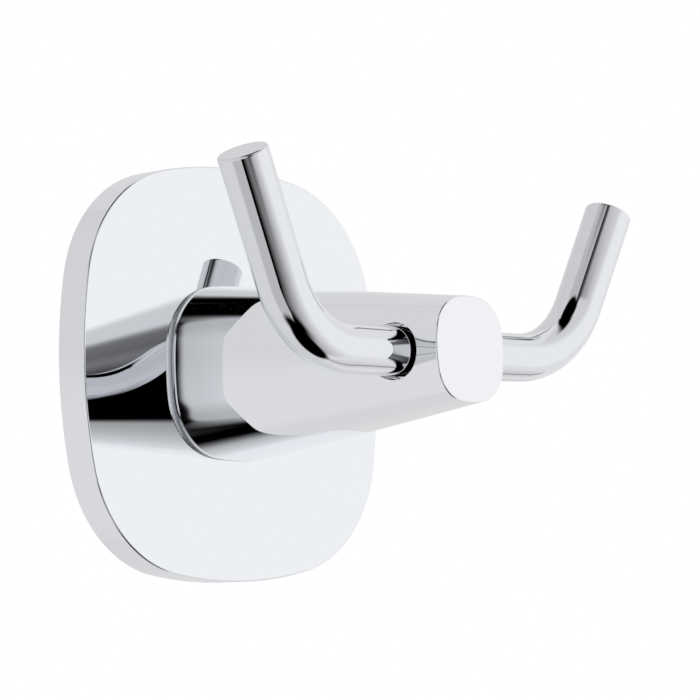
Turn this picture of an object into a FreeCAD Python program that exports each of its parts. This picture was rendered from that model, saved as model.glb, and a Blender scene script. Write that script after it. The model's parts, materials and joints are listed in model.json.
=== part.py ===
import FreeCAD, Part
import math
import os

import Sketcher
from FreeCAD import Vector

# Double robe hook for a wall.
# A bracket is screwed to the wall. A cast cover plate slips over it and is locked from below by a
# grub screw. A tapering boss is held on the plate by two screws from behind, and two bent rods are
# seated in the boss's flanks and turn up and outwards.
#
# Frame: the wall is the plane y = 0 and the hook stands out along -Y, +Z is up and +X is to the
# right. The origin is the middle of the plate, on the wall. Lengths are millimetres, angles degrees.

SIZES = [
    ("plate_width", 55.0, "cover plate, side to side"),
    ("plate_height", 55.0, "cover plate, top to bottom"),
    ("plate_depth", 4.7, "cover plate, wall to polished face"),
    ("plate_side_radius", 64.0, "gentle bulge of the plate's four sides"),
    ("plate_corner_radius", 17.7, "corners of the plate"),
    ("plate_edge_radius", 0.3, "softened front edge of the plate"),
    ("plate_rim", 2.2, "wall left round the recess at the back"),
    ("plate_skin", 1.5, "thickness of the polished face over the recess"),
    ("boss_base_width", 25.0, "boss where it meets the plate"),
    ("boss_base_height", 23.2, "boss where it meets the plate"),
    ("boss_base_side_radius", 50.0, "bulge of the sides at the base"),
    ("boss_base_corner_radius", 8.6, "corners at the base"),
    ("boss_end_width", 12.8, "flat end of the boss"),
    ("boss_end_height", 13.2, "flat end of the boss"),
    ("boss_end_side_radius", 13.0, "bulge of the sides at the end"),
    ("boss_end_corner_radius", 4.8, "corners at the end"),
    ("boss_reach", 44.9, "wall to the boss's flat end"),
    ("boss_base_chamfer", 0.4, "bevel round the base, which makes the seam line"),
    ("boss_end_radius", 0.35, "softened edge of the flat end"),
    ("rod_diameter", 6.2, "round rod of the arms"),
    ("rod_setback", 6.9, "boss's flat end back to the rods' axes, on its centre line"),
    ("rod_seat", 4.0, "boss's centre line to the seat of each rod"),
    ("rod_straight", 16.5, "boss's centre line to the start of the bend"),
    ("bend_radius", 13.2, "bend of the rod's centre line"),
    ("upturn_angle", 64.0, "rise of the rod's end above the horizontal"),
    ("left_upturn_length", 16.2, "left arm's straight end after the bend"),
    ("right_upturn_length", 13.8, "right arm's straight end after the bend, cut a little shorter"),
    ("rod_end_radius", 0.35, "softened edge of the rod's flat end"),
    ("forward_sweep", 3.4, "turn of each arm away from the wall, seen from above"),
    ("forward_lean", 3.0, "lean of each upturn away from the wall"),
    ("spigot_diameter", 4.0, "reduced end of the rod, which holds it in the boss"),
    ("spigot_length", 3.4, "length of that end"),
    ("spigot_chamfer", 0.4, "lead-in on the spigot"),
    ("mouth_gap", 0.42, "gap round the rod in the boss's flank"),
    ("mouth_chamfer", 0.12, "broken edge of the mouth"),
    ("bracket_thickness", 3.0, "wall bracket's plate"),
    ("bracket_opening", 19.0, "hole in the bracket, which clears the boss screws' heads"),
    ("screw_spacing", 34.0, "between the two wall screws"),
    ("screw_hole", 4.6, "clearance hole for a wall screw"),
    ("screw_head", 9.0, "countersink for its head"),
    ("boss_screw_spacing", 10.0, "between the two screws that hold the boss"),
    ("boss_screw_diameter", 4.0, "shank of a boss screw"),
    ("boss_screw_length", 10.0, "shank of a boss screw, under its head"),
    ("boss_screw_hole", 4.3, "clearance hole for it in the plate's face"),
    ("boss_screw_head", 7.0, "head of a boss screw"),
    ("boss_screw_head_height", 2.2, "head of a boss screw"),
    ("boss_screw_chamfer", 0.4, "bevels on the head and at the shank's end"),
    ("boss_screw_key", 2.5, "hexagon key, across its flats"),
    ("boss_screw_key_depth", 1.3, "hexagon socket"),
    ("grub_diameter", 2.5, "grub screw in the plate's lower rim"),
    ("grub_axis", 1.65, "wall to the grub screw's axis"),
    ("grub_sink", 0.3, "how far the grub screw sits inside the rim"),
    ("grub_point_diameter", 1.5, "dog point of the grub screw"),
    ("grub_point_length", 1.0, "depth of the dimple in the bracket for that point"),
    ("grub_key", 1.3, "hexagon key, across its flats"),
    ("grub_key_depth", 1.0, "hexagon socket"),
    ("fit_gap", 0.1, "clearance all round a piece that slides into another"),
    ("end_gap", 0.5, "room left at the bottom of a blind hole"),
]
SIZE = {name: value for name, value, note in SIZES}
# The wall to the rods' axes, on the boss's centre line
ROD_DEPTH = "(Sizes.boss_reach - Sizes.rod_setback)"
# What the plate's rim leaves free inside, drawn in by the clearance
BRACKET_INSET = SIZE["plate_rim"] + SIZE["fit_gap"]
BRACKET_INSET_WORDS = "(Sizes.plate_rim + Sizes.fit_gap)"


def make_sheet(doc):
    """The driving sizes, one row each, with the size's name as the alias of its value."""
    sheet = doc.addObject("Spreadsheet::Sheet", "Sizes")
    for row, (name, value, note) in enumerate(SIZES, start=1):
        sheet.set(f"A{row}", name)
        sheet.set(f"B{row}", str(value))
        sheet.set(f"C{row}", note)
        sheet.setAlias(f"B{row}", name)
    doc.recompute()
    return sheet


# Small helpers

def new_body(doc, label):
    """An empty body whose label is the name of its node."""
    body = doc.addObject("PartDesign::Body", label)
    body.Label = label
    return body


def own_plane(body, role):
    """One of the body's own three planes."""
    return next(part for part in body.Origin.OriginFeatures if part.Role == role)


def new_sketch(body, name, role, offset=None):
    """A sketch on one of the body's own planes, moved along the plane's normal by an expression."""
    sketch = body.newObject("Sketcher::SketchObject", f"{body.Label}_{name}")
    sketch.AttachmentSupport = [(own_plane(body, role), "")]
    sketch.MapMode = "FlatFace"
    if offset:
        sketch.setExpression("AttachmentOffset.Base.z", offset)
    return sketch


def feature(body, kind, name, **values):
    """A feature of the body, such as a pad, with its plain settings."""
    made = body.newObject(f"PartDesign::{kind}", f"{body.Label}_{name}")
    for key, value in values.items():
        setattr(made, key, value)
    return made


def mirrored(body, name, made, role):
    """The feature with its mirror image in one of the body's own planes."""
    both = feature(body, "Mirrored", name, Originals=[made], MirrorPlane=(own_plane(body, role), [""]))
    body.Tip = both
    return both


def bind(made, **expressions):
    """Ties properties of a feature to the sheet."""
    for key, expression in expressions.items():
        made.setExpression(key, expression)
    return made


def rule(sketch, name, expression, *constraint):
    """Adds a named dimension to a sketch and ties it to the sheet."""
    index = sketch.addConstraint(Sketcher.Constraint(*constraint))
    sketch.renameConstraint(index, name)
    sketch.setExpression(f"Constraints.{name}", expression)


def edges_where(made, test):
    """Names of the edges of a feature's shape that pass a test."""
    return [f"Edge{index}" for index, edge in enumerate(made.Shape.Edges, start=1) if test(edge)]


def lies_at_depth(depth):
    """A test for edges that lie in the plane at this distance from the wall."""
    return lambda edge: (abs(edge.BoundBox.YMin + depth) < 1e-4 and abs(edge.BoundBox.YMax + depth) < 1e-4)


def add_circle(sketch, radius, expression, centre=(0.0, 0.0), centre_x=None, centre_y=None):
    """A circle with its diameter, and where needed its centre, tied to the sheet."""
    circle = sketch.addGeometry(Part.Circle(Vector(centre[0], centre[1], 0), Vector(0, 0, 1), radius))
    rule(sketch, "diameter", expression, "Diameter", circle, 2 * radius)
    if centre_x is None and centre_y is None:
        sketch.addConstraint(Sketcher.Constraint("Coincident", circle, 3, -1, 1))
        return
    if centre_x is None:
        sketch.addConstraint(Sketcher.Constraint("PointOnObject", circle, 3, -2))
    else:
        rule(sketch, "across", centre_x, "DistanceX", -1, 1, circle, 3, centre[0])
    if centre_y is None:
        sketch.addConstraint(Sketcher.Constraint("PointOnObject", circle, 3, -1))
    else:
        rule(sketch, "along", centre_y, "DistanceY", -1, 1, circle, 3, centre[1])


# The rounded square: four long arcs for the sides and four short ones for the corners, all tangent

def rounded_square(sketch, width, height, side, corner, words):
    """Draws the outline from its four sizes; words holds the expression for each of them."""
    side_x = side - width / 2
    side_y = side - height / 2
    between = math.hypot(side_x, side_y)
    rise = math.sqrt((side - corner) ** 2 - (between / 2) ** 2)
    corner_x = rise * side_y / between - side_x / 2
    corner_y = rise * side_x / between - side_y / 2
    low = math.atan2(corner_y, corner_x + side_x)
    high = math.atan2(corner_y + side_y, corner_x)
    turn = math.pi
    arcs = [
        (-side_x, 0, side, -low, low),
        (corner_x, corner_y, corner, low, high),
        (0, -side_y, side, high, turn - high),
        (-corner_x, corner_y, corner, turn - high, turn - low),
        (side_x, 0, side, turn - low, turn + low),
        (-corner_x, -corner_y, corner, turn + low, turn + high),
        (0, side_y, side, turn + high, 2 * turn - high),
        (corner_x, -corner_y, corner, 2 * turn - high, 2 * turn - low),
    ]
    for x, y, radius, start, end in arcs:
        sketch.addGeometry(Part.ArcOfCircle(Part.Circle(Vector(x, y, 0), Vector(0, 0, 1), radius), start, end))
    count = len(arcs)
    for index in range(count):
        sketch.addConstraint(Sketcher.Constraint("Tangent", index, 2, (index + 1) % count, 1))
    for index in range(2, count):
        sketch.addConstraint(Sketcher.Constraint("Equal", index % 2, index))
    for index in (0, 4):
        sketch.addConstraint(Sketcher.Constraint("PointOnObject", index, 3, -1))
    for index in (2, 6):
        sketch.addConstraint(Sketcher.Constraint("PointOnObject", index, 3, -2))
    rule(sketch, "side_radius", words["side"], "Radius", 0, side)
    rule(sketch, "corner_radius", words["corner"], "Radius", 1, corner)
    across = f"{words['side']} - ({words['width']}) / 2"
    upright = f"{words['side']} - ({words['height']}) / 2"
    rule(sketch, "right_side", across, "DistanceX", 0, 3, -1, 1, side_x)
    rule(sketch, "left_side", across, "DistanceX", -1, 1, 4, 3, side_x)
    rule(sketch, "top_side", upright, "DistanceY", 2, 3, -1, 1, side_y)
    rule(sketch, "bottom_side", upright, "DistanceY", -1, 1, 6, 3, side_y)


def plate_outline(sketch, rim, words):
    """The plate's outline, drawn inwards by a rim."""
    rounded_square(
        sketch,
        SIZE["plate_width"] - 2 * rim,
        SIZE["plate_height"] - 2 * rim,
        SIZE["plate_side_radius"] - rim,
        SIZE["plate_corner_radius"] - rim,
        {
            "width": f"Sizes.plate_width - 2 * {words}",
            "height": f"Sizes.plate_height - 2 * {words}",
            "side": f"(Sizes.plate_side_radius - {words})",
            "corner": f"Sizes.plate_corner_radius - {words}",
        },
    )


def boss_outline(sketch, place):
    """The boss's outline at its base or at its end."""
    rounded_square(
        sketch,
        SIZE[f"boss_{place}_width"],
        SIZE[f"boss_{place}_height"],
        SIZE[f"boss_{place}_side_radius"],
        SIZE[f"boss_{place}_corner_radius"],
        {
            "width": f"Sizes.boss_{place}_width",
            "height": f"Sizes.boss_{place}_height",
            "side": f"Sizes.boss_{place}_side_radius",
            "corner": f"Sizes.boss_{place}_corner_radius",
        },
    )


# Cover plate: a shallow casting, open at the back over the bracket, with holes for its screws

def make_cover_plate(doc):
    body = new_body(doc, "cover_plate")
    outline = new_sketch(body, "outline", "XZ_Plane")
    plate_outline(outline, 0.0, "0")
    slab = bind(feature(body, "Pad", "slab", Profile=outline), Length="Sizes.plate_depth")
    doc.recompute()
    front = edges_where(slab, lies_at_depth(SIZE["plate_depth"]))
    edge = feature(body, "Fillet", "front_edge", Base=(slab, front), Radius=SIZE["plate_edge_radius"])
    bind(edge, Radius="Sizes.plate_edge_radius")
    hollow = new_sketch(body, "hollow", "XZ_Plane")
    plate_outline(hollow, SIZE["plate_rim"], "Sizes.plate_rim")
    recess = feature(body, "Pocket", "recess", Profile=hollow, Reversed=True)
    bind(recess, Length="Sizes.plate_depth - Sizes.plate_skin")
    below = new_sketch(body, "grub_axis", "XY_Plane")
    radius = (SIZE["grub_diameter"] + SIZE["fit_gap"]) / 2
    centre = (0.0, -SIZE["grub_axis"])
    add_circle(below, radius, "Sizes.grub_diameter + Sizes.fit_gap", centre=centre, centre_y="-Sizes.grub_axis")
    feature(body, "Pocket", "grub_hole", Profile=below, Type="ThroughAll")
    spot = new_sketch(body, "boss_screw", "XZ_Plane")
    radius = SIZE["boss_screw_hole"] / 2
    centre = (0.0, SIZE["boss_screw_spacing"] / 2)
    add_circle(spot, radius, "Sizes.boss_screw_hole", centre=centre, centre_y="Sizes.boss_screw_spacing / 2")
    hole = feature(body, "Pocket", "boss_screw_hole", Profile=spot, Reversed=True, Type="ThroughAll")
    doc.recompute()
    mirrored(body, "boss_screw_holes", hole, "XY_Plane")
    return body


# Boss: a loft between two rounded squares, with blind holes for its screws and the rods' seats

def make_boss(doc):
    body = new_body(doc, "boss")
    base = new_sketch(body, "base", "XZ_Plane", "Sizes.plate_depth")
    boss_outline(base, "base")
    end = new_sketch(body, "end", "XZ_Plane", "Sizes.boss_reach")
    boss_outline(end, "end")
    taper = feature(body, "AdditiveLoft", "taper", Profile=base, Sections=[end], Ruled=True)
    doc.recompute()
    rim = edges_where(taper, lies_at_depth(SIZE["boss_reach"]))
    soft = feature(body, "Fillet", "end_edge", Base=(taper, rim), Radius=SIZE["boss_end_radius"])
    bind(soft, Radius="Sizes.boss_end_radius")
    doc.recompute()
    seam = edges_where(soft, lies_at_depth(SIZE["plate_depth"]))
    bevel = feature(body, "Chamfer", "base_edge", Base=(soft, seam), Size=SIZE["boss_base_chamfer"])
    bind(bevel, Size="Sizes.boss_base_chamfer")

    spot = new_sketch(body, "screw", "XZ_Plane", "Sizes.plate_depth")
    radius = (SIZE["boss_screw_diameter"] + SIZE["fit_gap"]) / 2
    centre = (0.0, SIZE["boss_screw_spacing"] / 2)
    words = "Sizes.boss_screw_diameter + Sizes.fit_gap"
    add_circle(spot, radius, words, centre=centre, centre_y="Sizes.boss_screw_spacing / 2")
    drilled = feature(body, "Pocket", "screw_hole", Profile=spot, Reversed=True)
    bind(drilled, Length="Sizes.boss_screw_length - Sizes.plate_skin + Sizes.end_gap")
    doc.recompute()
    mirrored(body, "screw_holes", drilled, "XY_Plane")

    profile = new_sketch(body, "rod_seat", "XY_Plane")
    profile.setExpression("AttachmentOffset.Base.y", f"-{ROD_DEPTH}")
    profile.setExpression("AttachmentOffset.Rotation.Angle", "-Sizes.forward_sweep")
    seat_profile(profile)
    right = feature(body, "Groove", "right_seat", Profile=profile, ReferenceAxis=(profile, ["H_Axis"]), Angle=360.0)
    doc.recompute()
    both = mirrored(body, "both_seats", right, "YZ_Plane")
    doc.recompute()
    broken = feature(body, "Chamfer", "mouth_edges", Base=(both, mouth_edges(both)), Size=SIZE["mouth_chamfer"])
    bind(broken, Size="Sizes.mouth_chamfer")
    body.Tip = broken
    return body


def mouth_edges(made):
    """Names of the edges where the rods' mouths break through the flanks."""
    mouth = SIZE["rod_diameter"] / 2 + SIZE["mouth_gap"]
    walls = [face for face in made.Shape.Faces
             if isinstance(face.Surface, Part.Cylinder) and abs(face.Surface.Radius - mouth) < 1e-4]
    rims = [edge for wall in walls for edge in wall.Edges if not isinstance(edge.Curve, (Part.Circle, Part.Line))]
    return edges_where(made, lambda edge: any(edge.isSame(rim) for rim in rims))


def seat_profile(sketch):
    """Half the section of a rod's seat: the drilled hole for the spigot and the wider mouth."""
    seat = SIZE["rod_seat"]
    drilled = SIZE["spigot_diameter"] / 2 + SIZE["fit_gap"] / 2
    mouth = SIZE["rod_diameter"] / 2 + SIZE["mouth_gap"]
    deep = seat - SIZE["spigot_length"] - SIZE["end_gap"] / 2
    far = SIZE["boss_base_width"] / 2
    points = [(deep, 0), (deep, drilled), (seat, drilled), (seat, mouth), (far, mouth), (far, 0)]
    count = len(points)
    for index in range(count):
        start = Vector(*points[index], 0)
        stop = Vector(*points[(index + 1) % count], 0)
        sketch.addGeometry(Part.LineSegment(start, stop))
    for index in range(count):
        sketch.addConstraint(Sketcher.Constraint("Coincident", index, 2, (index + 1) % count, 1))
        kind = "Vertical" if index % 2 == 0 else "Horizontal"
        sketch.addConstraint(Sketcher.Constraint(kind, index))
    sketch.addConstraint(Sketcher.Constraint("PointOnObject", 0, 1, -1))
    rule(sketch, "seat", "Sizes.rod_seat", "DistanceX", -1, 1, 2, 1, seat)
    deep_words = "Sizes.spigot_length + Sizes.end_gap / 2"
    rule(sketch, "deep", deep_words, "DistanceX", 0, 2, 2, 1, seat - deep)
    rule(sketch, "far", "Sizes.boss_base_width / 2", "DistanceX", -1, 1, 4, 1, far)
    rule(sketch, "drilled", "(Sizes.spigot_diameter + Sizes.fit_gap) / 2", "DistanceY", -1, 1, 0, 2, drilled)
    rule(sketch, "mouth", "Sizes.rod_diameter / 2 + Sizes.mouth_gap", "DistanceY", -1, 1, 3, 1, mouth)


# Arms: a round rod swept along a straight run, a bend and a straight end, with a spigot inside

def make_arm(doc, label, side):
    """One arm; side is 1 for the right one and -1 for the left one, which has a longer straight end."""
    body = new_body(doc, label)
    seat = SIZE["rod_seat"]
    start = SIZE["rod_straight"]
    bend = SIZE["bend_radius"]
    rise = math.radians(SIZE["upturn_angle"])
    upturn = "right_upturn_length" if side > 0 else "left_upturn_length"
    length = SIZE[upturn]
    bend_end = Vector(side * (start + bend * math.sin(rise)), bend * (1 - math.cos(rise)), 0)
    tip = bend_end + Vector(side * length * math.cos(rise), length * math.sin(rise), 0)

    path = new_sketch(body, "path", "XZ_Plane")
    run = path.addGeometry(Part.LineSegment(Vector(side * seat, 0, 0), Vector(side * start, 0, 0)))
    circle = Part.Circle(Vector(side * start, bend, 0), Vector(0, 0, 1), bend)
    if side > 0:
        arc = path.addGeometry(Part.ArcOfCircle(circle, -math.pi / 2, rise - math.pi / 2))
        near, distant = 1, 2
    else:
        arc = path.addGeometry(Part.ArcOfCircle(circle, -math.pi / 2 - rise, -math.pi / 2))
        near, distant = 2, 1
    end = path.addGeometry(Part.LineSegment(bend_end, tip))
    path.addConstraint(Sketcher.Constraint("PointOnObject", run, 1, -1))
    path.addConstraint(Sketcher.Constraint("Horizontal", run))
    path.addConstraint(Sketcher.Constraint("Tangent", run, 2, arc, near))
    path.addConstraint(Sketcher.Constraint("Tangent", arc, distant, end, 1))
    first, second = ((-1, 1, run, 1), (-1, 1, run, 2)) if side > 0 else ((run, 1, -1, 1), (run, 2, -1, 1))
    rule(path, "seat", "Sizes.rod_seat", "DistanceX", *first, seat)
    rule(path, "straight", "Sizes.rod_straight", "DistanceX", *second, start)
    rule(path, "bend", "Sizes.bend_radius", "Radius", arc, bend)
    rule(path, "length", f"Sizes.{upturn}", "Distance", end, length)
    rule(path, "across", f"Sizes.{upturn} * cos(Sizes.upturn_angle)", "DistanceX",
         *((end, 1, end, 2) if side > 0 else (end, 2, end, 1)), length * math.cos(rise))

    section = new_sketch(body, "section", "YZ_Plane", f"{side} * Sizes.rod_seat")
    add_circle(section, SIZE["rod_diameter"] / 2, "Sizes.rod_diameter")
    rod = feature(body, "AdditivePipe", "rod", Profile=section, Spine=(path, ["Edge1", "Edge2", "Edge3"]))
    doc.recompute()
    top = max(rod.Shape.Edges, key=lambda edge: edge.CenterOfMass.z)
    tip_edge = edges_where(rod, lambda edge: edge.isSame(top))
    soft = feature(body, "Fillet", "tip", Base=(rod, tip_edge), Radius=SIZE["rod_end_radius"])
    bind(soft, Radius="Sizes.rod_end_radius")

    neck = new_sketch(body, "neck", "YZ_Plane", f"{side} * Sizes.rod_seat")
    add_circle(neck, SIZE["spigot_diameter"] / 2, "Sizes.spigot_diameter")
    spigot = feature(body, "Pad", "spigot", Profile=neck, Reversed=side > 0)
    bind(spigot, Length="Sizes.spigot_length")
    doc.recompute()
    inner = side * (seat - SIZE["spigot_length"])
    lead = edges_where(spigot, lambda edge: abs(edge.BoundBox.XMin - inner) < 1e-4 and edge.BoundBox.XLength < 1e-4)
    taper = feature(body, "Chamfer", "lead_in", Base=(spigot, lead), Size=SIZE["spigot_chamfer"])
    bind(taper, Size="Sizes.spigot_chamfer")
    place = f"create(<<vector>>; 0; -{ROD_DEPTH}; 0)"
    turn = f"create(<<rotation>>; {-side} * Sizes.forward_sweep; 0; Sizes.forward_lean)"
    body.setExpression("Placement", f"create(<<placement>>; {place}; {turn})")
    return body


# Wall bracket: a plate inside the cover plate's rim, with two countersunk holes and an opening

def make_wall_bracket(doc):
    body = new_body(doc, "wall_bracket")
    outline = new_sketch(body, "outline", "XZ_Plane")
    plate_outline(outline, BRACKET_INSET, BRACKET_INSET_WORDS)
    bind(feature(body, "Pad", "slab", Profile=outline), Length="Sizes.bracket_thickness")
    ring = new_sketch(body, "ring", "XZ_Plane")
    add_circle(ring, SIZE["bracket_opening"] / 2, "Sizes.bracket_opening")
    feature(body, "Pocket", "opening", Profile=ring, Reversed=True, Type="ThroughAll")

    under = new_sketch(body, "under", "XY_Plane")
    offset = f"-(Sizes.plate_height / 2 - {BRACKET_INSET_WORDS} - Sizes.grub_point_length)"
    under.setExpression("AttachmentOffset.Base.z", offset)
    add_circle(
        under,
        SIZE["grub_point_diameter"] / 2 + SIZE["fit_gap"],
        "Sizes.grub_point_diameter + 2 * Sizes.fit_gap",
        centre=(0.0, -SIZE["grub_axis"]),
        centre_y="-Sizes.grub_axis",
    )
    feature(body, "Pocket", "grub_dimple", Profile=under, Type="ThroughAll")

    spot = new_sketch(body, "screw", "XZ_Plane", "Sizes.bracket_thickness")
    add_circle(
        spot,
        SIZE["screw_hole"] / 2,
        "Sizes.screw_hole",
        centre=(SIZE["screw_spacing"] / 2, 0.0),
        centre_x="Sizes.screw_spacing / 2",
    )
    doc.recompute()
    hole = feature(body, "Hole", "screw_hole", Profile=spot)
    hole.DepthType = "ThroughAll"
    hole.HoleCutType = "Countersink"
    hole.HoleCutCountersinkAngle = 90.0
    bind(hole, Diameter="Sizes.screw_hole", HoleCutDiameter="Sizes.screw_head")
    doc.recompute()
    mirrored(body, "screw_holes", hole, "YZ_Plane")
    return body


# Boss screws: drawn on the hook's centre line, then moved up or down

def make_boss_screw(doc, label, side):
    """One of the two screws that hold the boss; side is 1 for the upper one and -1 for the lower one."""
    body = new_body(doc, label)
    back = "Sizes.plate_depth - Sizes.plate_skin - Sizes.boss_screw_head_height"
    head = new_sketch(body, "head", "XZ_Plane", back)
    add_circle(head, SIZE["boss_screw_head"] / 2, "Sizes.boss_screw_head")
    cap = bind(feature(body, "Pad", "head_pad", Profile=head), Length="Sizes.boss_screw_head_height")
    doc.recompute()
    seat = SIZE["plate_depth"] - SIZE["plate_skin"]
    rim = edges_where(cap, lies_at_depth(seat - SIZE["boss_screw_head_height"]))
    soft = feature(body, "Chamfer", "head_edge", Base=(cap, rim), Size=SIZE["boss_screw_chamfer"])
    bind(soft, Size="Sizes.boss_screw_chamfer")
    shank = new_sketch(body, "shank", "XZ_Plane", "Sizes.plate_depth - Sizes.plate_skin")
    add_circle(shank, SIZE["boss_screw_diameter"] / 2, "Sizes.boss_screw_diameter")
    pin = bind(feature(body, "Pad", "shank_pad", Profile=shank), Length="Sizes.boss_screw_length")
    doc.recompute()
    tip = edges_where(pin, lies_at_depth(seat + SIZE["boss_screw_length"]))
    lead = feature(body, "Chamfer", "lead_in", Base=(pin, tip), Size=SIZE["boss_screw_chamfer"])
    bind(lead, Size="Sizes.boss_screw_chamfer")
    key = new_sketch(body, "key", "XZ_Plane", back)
    hexagon(key, SIZE["boss_screw_key"], "Sizes.boss_screw_key")
    socket = feature(body, "Pocket", "key_socket", Profile=key, Reversed=True)
    bind(socket, Length="Sizes.boss_screw_key_depth")
    place = f"create(<<vector>>; 0; 0; {side} * Sizes.boss_screw_spacing / 2)"
    body.setExpression("Placement", f"create(<<placement>>; {place}; create(<<rotation>>; 0; 0; 0))")
    return body


# Grub screw: drawn upright, with its hexagon socket at the origin and its dog point upwards

def make_grub_screw(doc):
    body = new_body(doc, "grub_screw")
    shank = new_sketch(body, "shank", "XY_Plane")
    add_circle(shank, SIZE["grub_diameter"] / 2, "Sizes.grub_diameter")
    bind(feature(body, "Pad", "shank_pad", Profile=shank), Length="Sizes.plate_rim - Sizes.grub_sink")
    point = new_sketch(body, "point", "XY_Plane")
    add_circle(point, SIZE["grub_point_diameter"] / 2, "Sizes.grub_point_diameter")
    tip = feature(body, "Pad", "dog_point", Profile=point)
    bind(tip, Length="Sizes.plate_rim - Sizes.grub_sink + Sizes.grub_point_length")
    key = new_sketch(body, "key", "XY_Plane")
    hexagon(key, SIZE["grub_key"], "Sizes.grub_key")
    socket = feature(body, "Pocket", "key_socket", Profile=key, Reversed=True)
    bind(socket, Length="Sizes.grub_key_depth")
    place = "create(<<vector>>; 0; -Sizes.grub_axis; Sizes.grub_sink - Sizes.plate_height / 2)"
    body.setExpression("Placement", f"create(<<placement>>; {place}; create(<<rotation>>; 0; 0; 0))")
    return body


def hexagon(sketch, flats, expression):
    """A hexagon about the origin, with two of its sides upright, from its size across the flats."""
    reach = flats / math.sqrt(3)
    corners = [Vector(reach * math.cos(math.radians(60 * k + 30)), reach * math.sin(math.radians(60 * k + 30)), 0)
               for k in range(6)]
    for index in range(6):
        sketch.addGeometry(Part.LineSegment(corners[index], corners[(index + 1) % 6]))
    ring = sketch.addGeometry(Part.Circle(Vector(0, 0, 0), Vector(0, 0, 1), reach), True)
    sketch.addConstraint(Sketcher.Constraint("Coincident", ring, 3, -1, 1))
    for index in range(6):
        sketch.addConstraint(Sketcher.Constraint("Coincident", index, 2, (index + 1) % 6, 1))
        sketch.addConstraint(Sketcher.Constraint("PointOnObject", index, 1, ring))
    for index in range(1, 6):
        sketch.addConstraint(Sketcher.Constraint("Equal", 0, index))
    sketch.addConstraint(Sketcher.Constraint("Vertical", 5))
    rule(sketch, "corners", f"{expression} * 2 / sqrt(3)", "Diameter", ring, 2 * reach)


# Build, check and write every piece

def check_document(doc):
    """Stops at any object that failed to build."""
    for item in doc.Objects:
        if "Invalid" in item.State or "Error" in item.State:
            raise RuntimeError(f"{item.Name} failed: {item.State}")


def write_piece(body):
    """Writes one piece to its own file, if its shape is sound."""
    shape = body.Shape
    if shape.isNull() or not shape.isValid() or len(shape.Solids) != 1:
        raise RuntimeError(f"{body.Label} has no sound shape")
    shape.exportStep(os.path.join("parts", f"{body.Label}.step"))
    print(f"{body.Label}: {shape.Volume:.1f} cubic mm")


def main():
    doc = FreeCAD.newDocument("robe_hook")
    make_sheet(doc)
    bodies = [
        make_cover_plate(doc),
        make_boss(doc),
        make_arm(doc, "left_arm", -1),
        make_arm(doc, "right_arm", 1),
        make_wall_bracket(doc),
        make_boss_screw(doc, "upper_boss_screw", 1),
        make_boss_screw(doc, "lower_boss_screw", -1),
        make_grub_screw(doc),
    ]
    doc.recompute()
    check_document(doc)
    os.makedirs("parts", exist_ok=True)
    for body in bodies:
        write_piece(body)


main()
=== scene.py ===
# %% [markdown]
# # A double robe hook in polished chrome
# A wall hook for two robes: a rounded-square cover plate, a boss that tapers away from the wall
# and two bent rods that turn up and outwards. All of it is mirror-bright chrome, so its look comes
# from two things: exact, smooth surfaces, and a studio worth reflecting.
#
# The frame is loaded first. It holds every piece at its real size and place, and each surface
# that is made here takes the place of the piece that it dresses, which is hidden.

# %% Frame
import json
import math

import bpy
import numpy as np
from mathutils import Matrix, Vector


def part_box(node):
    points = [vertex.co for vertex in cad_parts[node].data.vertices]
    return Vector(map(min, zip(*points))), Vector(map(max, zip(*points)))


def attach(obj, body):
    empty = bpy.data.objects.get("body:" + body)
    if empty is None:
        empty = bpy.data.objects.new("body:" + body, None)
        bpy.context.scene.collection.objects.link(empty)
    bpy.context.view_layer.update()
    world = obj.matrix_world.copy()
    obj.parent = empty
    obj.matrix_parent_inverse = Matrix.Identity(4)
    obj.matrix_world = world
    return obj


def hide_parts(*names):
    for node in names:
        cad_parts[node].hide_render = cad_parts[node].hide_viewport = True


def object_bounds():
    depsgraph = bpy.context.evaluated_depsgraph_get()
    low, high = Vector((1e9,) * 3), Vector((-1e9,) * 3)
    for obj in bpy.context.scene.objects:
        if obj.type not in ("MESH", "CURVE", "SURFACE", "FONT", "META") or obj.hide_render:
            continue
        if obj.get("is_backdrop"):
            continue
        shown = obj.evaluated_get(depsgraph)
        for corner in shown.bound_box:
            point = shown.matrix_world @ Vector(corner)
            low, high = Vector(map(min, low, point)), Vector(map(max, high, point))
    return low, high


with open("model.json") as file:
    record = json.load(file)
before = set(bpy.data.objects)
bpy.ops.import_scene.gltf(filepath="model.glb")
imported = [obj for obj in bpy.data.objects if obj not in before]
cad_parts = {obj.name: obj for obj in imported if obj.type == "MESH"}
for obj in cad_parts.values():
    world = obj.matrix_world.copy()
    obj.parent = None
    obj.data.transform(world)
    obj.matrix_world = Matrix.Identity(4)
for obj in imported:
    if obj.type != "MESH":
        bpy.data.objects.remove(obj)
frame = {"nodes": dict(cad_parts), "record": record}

# %% [markdown]
# ## Sizes
# Lengths on a hook are thought of in millimetres, and the scene is in metres, so one factor turns
# the first into the second. The overall sizes are read from the frame. The few that a box can't
# tell, such as a corner's radius or a bend, are named here as real sizes. The boss's two outlines
# are each a width, a height, the radius of the sides and the radius of the corners.

MM = 0.001
cad_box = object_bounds()
plate_low, plate_high = (np.array(corner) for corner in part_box("cover_plate"))
boss_low = np.array(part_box("boss")[0])
mounts = {mount["name"]: mount for mount in frame["record"]["mounts"]}

PLATE_WIDTH = plate_high[0] - plate_low[0]
PLATE_HEIGHT = plate_high[2] - plate_low[2]
PLATE_DEPTH = plate_high[1] - plate_low[1]
PLATE_SIDE_RADIUS = 64 * MM
PLATE_CORNER_RADIUS = 17.7 * MM
PLATE_EDGE = 0.3 * MM
PLATE_RIM = 2.2 * MM
PLATE_SKIN = 1.5 * MM
FINE_EDGE = 0.08 * MM

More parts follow.
